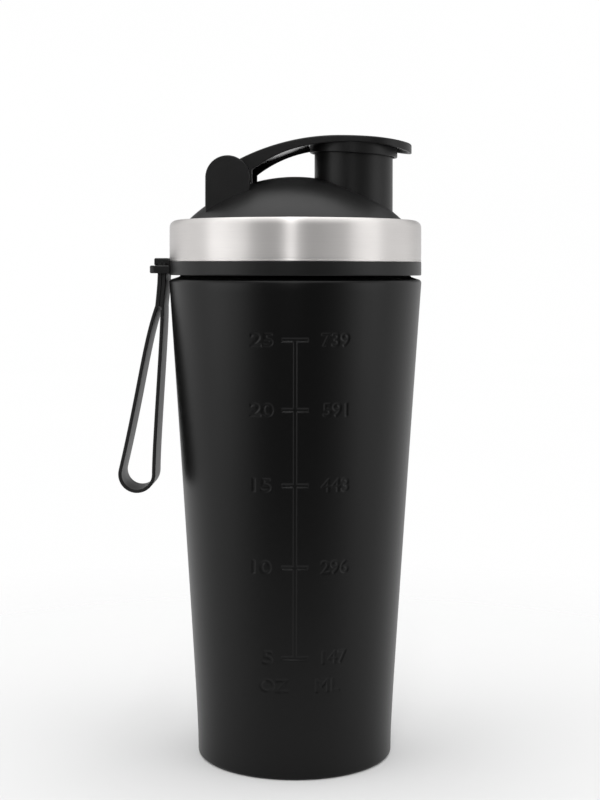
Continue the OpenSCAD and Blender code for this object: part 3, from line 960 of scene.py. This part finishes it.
def cap_stations():
    """Places of the cap's cross sections, up one side, round the tab and back down the other:
    (x, side, None) beside the straight part and (x, 0, turn) about the tab's middle."""
    end_x = TAB_X - ARM_HALF
    along = [ROOT_BACK, ROOT_HOLLOW - 0.02, ROOT_HOLLOW + 0.02, -16.4, ROOT_X - 0.03]
    along += [ROOT_X + 0.03, -14.6, -13.8, -13, -12] + spread(-11, PLATE_STEP_X, 1.6)
    along += spread(PLATE_STEP_X + 0.04, end_x, 1.6)[:-1]
    stations = [(x, -1, None) for x in along]
    stations += [(end_x, 0, turn) for turn in spread(-90, 90, 3)]
    return stations + [(x, 1, None) for x in reversed(along)]


def cap_section():
    """One cross section, from the middle of the top, round the rim, to the middle of the
    underside: (distance in from the edge, surface, height over it)."""
    edge, small = 0.6, 0.3
    top = [(d, "top", 0) for d in (ARM_HALF, 13, 9, 6, 4, 2.4, 1.2)]
    for a in np.linspace(0, pi / 2, 6):
        top.append((edge * (1 - sin(a)), "top", -edge * (1 - cos(a))))
    turns = np.linspace(0, pi / 2, 4)
    low = [(small * (1 - cos(a)), "low", small * (1 - sin(a))) for a in turns]
    low += [(RIM_W - small + small * sin(a), "low", small * (1 - cos(a))) for a in turns]
    under = [(RIM_W + 0.05, "under", -0.5), (RIM_W + 0.15, "under", -0.15)]
    under += [(d, "under", 0) for d in (RIM_W + 0.5, 3.5, 6, 9, 13, ARM_HALF)]
    return top + low + under


def cap_point(station, corner):
    """A point of the cap's skin, kept clear of the dome on its lower side."""
    x0, side, turn = station
    inwards, surface, rise = corner
    reach = ARM_HALF - inwards
    if turn is None:
        x, y, edge_x = x0, side * reach, x0
    else:
        t = radians(turn)
        x, y, edge_x = x0 + reach * cos(t), reach * sin(t), x0 + ARM_HALF * cos(t)
    if surface == "top":
        return x, y, float(arm_high(x)) + rise
    z = float(arm_low(min(x, edge_x)))
    if surface == "low":
        z += rise
    elif x0 > ROOT_HOLLOW:
        z = plate_low(x) + rise
    if x > DOME_GAP_X:
        z = max(z, float(dome_height(x, y, DOME_R + DOME_GAP)))
    return x, y, z


def make_flip_cap():
    """The cap's skin over its arm and tab, with the hinge barrel and the skirt."""
    stations, section = cap_stations(), cap_section()
    points = [cap_point(station, corner) for station in stations for corner in section]
    faces = ring_faces(len(stations), len(section), close_rows=False)
    gloss = [int(station[0] > GLOSS_X and corner[1] == "under")
             for station in stations[1:] for corner in section]
    obj = piece("flip_lid", points, faces, (plastic, gloss_plastic), gloss)
    bm = bmesh.new()
    bm.from_mesh(obj.data)
    bmesh.ops.remove_doubles(bm, verts=bm.verts, dist=0.004 * MM)
    bmesh.ops.contextual_create(bm, geom=[e for e in bm.edges if e.is_boundary])
    bmesh.ops.dissolve_degenerate(bm, edges=bm.edges, dist=0.0005 * MM)
    bm.to_mesh(obj.data)
    bm.free()
    smooth(obj)

    obj = join_shape(obj, barrel())
    obj = join_shape(obj, cap_skirt())
    return finish_shape(obj, 30)


def barrel():
    """The hinge barrel with its trunnions."""
    half = ARM_HALF - 0.02
    root = prism("barrel", hinge_circle(BARREL_R, 80), -half, half, (plastic,), rounding=0.5)
    pin, end = hinge_circle(TRUNNION_R, 48), TRUNNION_END
    return join_shape(root, prism("trunnions", pin, -end, end, (plastic,), rounding=0.4))


def cap_skirt():
    """The skirt that closes over the spout, with its floor. Its top runs up into the plate."""
    edge, top = 0.3, CAP_SKIRT_TOP
    out, bore, low = CAP_SKIRT_R, CAP_SKIRT_IN, CAP_SKIRT_Z
    profile = [(0, CAP_FLOOR), (bore - 0.3, CAP_FLOOR), (bore, CAP_FLOOR - 0.3), (bore, low + 0.4)]
    profile += arc(bore + edge, low + edge, edge, 180, 270, 4)
    profile += arc(out - edge, low + edge, edge, 270, 360, 4)
    profile += [(out, 223), (out, 224.2), (out, top), ((out + bore) / 2, top), (0, top)]
    obj = revolved("skirt", profile, (plastic,), 128, centre=(SPOUT_X, 0))
    for v in obj.data.vertices:
        x = v.co.x / MM
        if v.co.z > (top - 0.1) * MM:
            v.co.z = (float(arm_high(x)) - 0.8) * MM
        else:
            v.co.z -= tilt_drop(x) * MM
    return obj


# ---------------------------------------------------------------- strap
def stem_x(z):
    """Middle of the stem, which leans away from the cup below the bend."""
    below = BEND_SOFT * np.log1p(np.exp((BEND_Z - z) / BEND_SOFT))
    return STEM_X - tan(radians(LEAN)) * below


def strap_line():
    """Middle line of the loop: down the outer leg, round the lower end, up the inner leg."""
    off = (STEM_T - LEG_T) / 2
    foot, start, up = stem_x(LOOP_TOP), stem_x(LOOP_TOP + 1), LOOP_TOP + 1
    end = arc(*LOOP_END, LOOP_END_R, LOOP_END_TURN, 360, 30)
    outer = [(foot - off, LOOP_TOP)] + LOOP_OUTER + [end[0]]
    inner = [end[-1]] + LOOP_INNER + [(foot + off, LOOP_TOP)]
    line = [(start - off, up)] + [bezier(outer, i / 30) for i in range(30)]
    return line + end + [bezier(inner, i / 30) for i in range(1, 31)] + [(start + off, up)]


def strap_band():
    """The loop: a flat band of silicone along its middle line."""
    line = np.array(strap_line())
    along = np.gradient(line, axis=0)
    along /= np.linalg.norm(along, axis=1)[:, None]
    normal = np.stack([-along[:, 1], along[:, 0]], 1)
    section = rounded_box(LEG_T / 2, STRAP_HALF, 0.3, 4)
    points = []
    for (x, z), (nx, nz) in zip(line, normal):
        points += [(x + t * nx, y, z + t * nz) for t, y in section]
    return piece("carry_strap", points, tube_faces(len(line), len(section)), (strap_rubber,))


def strap_stem():
    """The stem over the loop, with a fine notch down each side."""
    half, notch, deep = STRAP_HALF, 0.16, 0.22
    outline = rounded_box(STEM_T / 2, half, 0.35, 4)
    split = next(i for i, (x, y) in enumerate(outline) if x < 0)
    outline[split:split] = [(notch, half), (0, half - deep), (-notch, half)]
    split = next(i for i, (x, y) in enumerate(outline) if x > 0 and y < 0)
    outline[split:split] = [(-notch, -half), (0, -half + deep), (notch, -half)]
    rows = 28
    ends = (LOOP_TOP - 0.15, LUG_TOP + 1)
    stem = prism("stem", outline, *ends, (strap_rubber,), axis="z", rounding=0, rows=rows)
    for v in stem.data.vertices:
        v.co.x += stem_x(v.co.z / MM) * MM
    return stem


def make_strap():
    """The strap in one piece: its loop, its stem and the T-shaped head that rests on the lug."""
    obj = join_shape(strap_band(), strap_stem())
    crotch, end = arc(stem_x(LOOP_TOP), LOOP_TOP - 0.9, 0.8, 0, 360, 24)[:-1], STRAP_HALF + 1
    obj = cut(obj, prism("crotch", crotch, -end, end, (strap_rubber,), rounding=0))

    turn = degrees(np.arcsin((STRAP_HALF - 0.2) / HEAD_MIDDLE))
    plan = arc(0, 0, HEAD_OUT, 180 - turn, 180 + turn, 24)
    plan += arc(0, 0, HEAD_IN, 180 + turn, 180 - turn, 24)
    ends = (LUG_TOP + 0.02, head_high.z)
    head = prism("head", plan, *ends, (strap_rubber,), axis="z", rounding=0.55, steps=5)
    return finish_shape(join_shape(obj, head), 38)


# ---------------------------------------------------------------- the pieces on their bodies
def ride(obj, body, slot, *nodes):
    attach(obj, body)
    if nodes:
        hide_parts(*nodes)


def dress(node, material):
    """Gives a carried-over CAD node its material."""
    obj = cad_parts[node]
    for held in obj.material_slots:
        held.material = material
    if not obj.material_slots:
        obj.data.materials.append(material)


# ---------------------------------------------------------------- camera, lights and floor
def make_camera():
    """The camera, level with the bottle, shifted a little for the photograph's framing."""
    turn, roll = radians(CAMERA_TURN), radians(CAMERA_ROLL)
    lens = bpy.data.cameras.new("camera")
    lens.lens = LENS
    lens.shift_x = SHIFT_X
    lens.shift_y = SHIFT_Y
    camera = bpy.data.objects.new("camera", lens)
    camera.location = (CAMERA_AWAY * sin(turn), -CAMERA_AWAY * cos(turn), CAMERA_EYE)
    camera.rotation_euler = (radians(90), roll, turn)
    bpy.context.scene.collection.objects.link(camera)
    bpy.context.scene.camera = camera


def soft_light(name, turn, up, away, size, power):
    """An area light that looks at the bottle's middle; turn is measured from the camera's side."""
    light = bpy.data.lights.new(name, "AREA")
    light.shape = "RECTANGLE"
    light.size, light.size_y = size
    light.energy = power
    obj = bpy.data.objects.new(name, light)
    a = radians(turn - 90)
    obj.location = (away * cos(a), away * sin(a), up)
    look = Vector(LIGHT_TARGET) - obj.location
    obj.rotation_euler = look.to_track_quat("-Z", "Y").to_euler()
    obj.visible_camera = False
    bpy.context.scene.collection.objects.link(obj)


def make_world():
    """Soft surroundings: bright above, pale at the sides and low behind, dim on the camera's side,
    with a dim patch behind the bottle from a little above the horizon."""
    world = bpy.data.worlds.new("studio")
    bpy.context.scene.world = world
    world.use_nodes = True
    nodes, links = world.node_tree.nodes, world.node_tree.links
    where = nodes.new("ShaderNodeTexCoord")
    parts = nodes.new("ShaderNodeSeparateXYZ")
    links.new(where.outputs["Generated"], parts.inputs["Vector"])

    def blend(axis, low, high, before, after):
        """Brightness that goes from before to after as the direction's axis goes from low to
        high. Each of the two is a number or another blend."""
        node = nodes.new("ShaderNodeMapRange")
        node.interpolation_type = "SMOOTHSTEP"
        node.inputs["From Min"].default_value = low
        node.inputs["From Max"].default_value = high
        for socket, value in (("To Min", before), ("To Max", after)):
            if isinstance(value, float):
                node.inputs[socket].default_value = value
            else:
                links.new(value, node.inputs[socket])
        links.new(parts.outputs[axis], node.inputs["Value"])
        return node.outputs["Result"]

    behind = blend("Z", 0.08, 0.3, AROUND, BEHIND)
    back = blend("Y", 0.6, 0.85, AROUND, behind)
    around = blend("Y", -1.0, -0.2, FRONT, back)
    above = blend("Z", 0.68, 1.0, around, ABOVE)
    links.new(above, nodes["Background"].inputs["Color"])


def disc(name, radius, z, material):
    bm = bmesh.new()
    bmesh.ops.create_circle(bm, cap_ends=True, segments=STAGE_SIDES, radius=radius)
    mesh = bpy.data.meshes.new(name)
    bm.to_mesh(mesh)
    bm.free()
    mesh.materials.append(material)
    obj = bpy.data.objects.new(name, mesh)
    obj.location.z = z
    bpy.context.scene.collection.objects.link(obj)
    return obj


def floor_paint():
    """Pale matt paint that fades out away from the bottle, so that the floor's end doesn't show."""
    g = Graph("floor_paint")
    place = g.place()
    g.tone(g.noise(place, 3), grey(0.775), grey(0.79))
    g.set(Roughness=0.9, Specular_IOR_Level=0.1)
    reach = g.add("ShaderNodeVectorMath", operation="LENGTH")
    g.link(place, reach, 0)
    g.link(g.remap(reach.outputs["Value"], 0.07, 0.36, 0.9, 0.0), g.shader, "Alpha")
    return g.material


def backdrop_glow():
    """An even pale glow, a little uneven like a painted wall."""
    g = Graph("backdrop_glow")
    g.tone(g.noise(g.place(), 2), grey(0.995), grey(1.0), socket="Emission Color")
    g.set(Emission_Strength=BACKDROP, Base_Color=(0, 0, 0, 1), Specular_IOR_Level=0.0)
    return g.material


def make_stage():
    """A pale round floor, and a pale surround that only the camera sees."""
    floor = disc("floor", FLOOR_REACH, 0, floor_paint())
    glow = backdrop_glow()
    ground = disc("ground", STAGE_REACH, -0.004, glow)
    turn = np.linspace(0, 2 * pi, STAGE_SIDES, endpoint=False)
    points = [(STAGE_REACH * cos(t), STAGE_REACH * sin(t), z)
              for z in (-0.01, STAGE_HIGH) for t in turn]
    mesh = bpy.data.meshes.new("wall")
    mesh.from_pydata(points, [], ring_faces(2, STAGE_SIDES, close_rows=False))
    mesh.materials.append(glow)
    wall = bpy.data.objects.new("wall", mesh)
    bpy.context.scene.collection.objects.link(wall)
    for unseen in (ground, wall):
        unseen.visible_diffuse = unseen.visible_glossy = unseen.visible_shadow = False
        unseen.visible_transmission = unseen.visible_volume_scatter = False


make_camera()
make_world()
make_stage()
for light in LIGHTS:
    soft_light(*light)
bpy.context.scene.view_settings.view_transform = "Standard"

ride(make_cup(), "cup", "powder_coat", "cup_body")
ride(make_cup_floor(), "cup", "raw_steel", "cup_base")
ride(make_lid_shell(), "lid", "lid_plastic", "lid_shell")
ride(make_lid_thread(), "lid", "lid_plastic")
ride(make_band(), "lid", "band_steel", "lid_band")
ride(make_collar(), "lid", "lid_plastic", "strap_collar")
ride(make_flip_cap(), "cap", "lid_plastic", "flip_cap")
strap = make_strap()
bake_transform(strap)
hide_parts("strap_head", "strap_loop")
dress("lid_gasket", seal_rubber)
dress("spout_seal", seal_rubber)
dress("mixing_grid", inner_plastic)
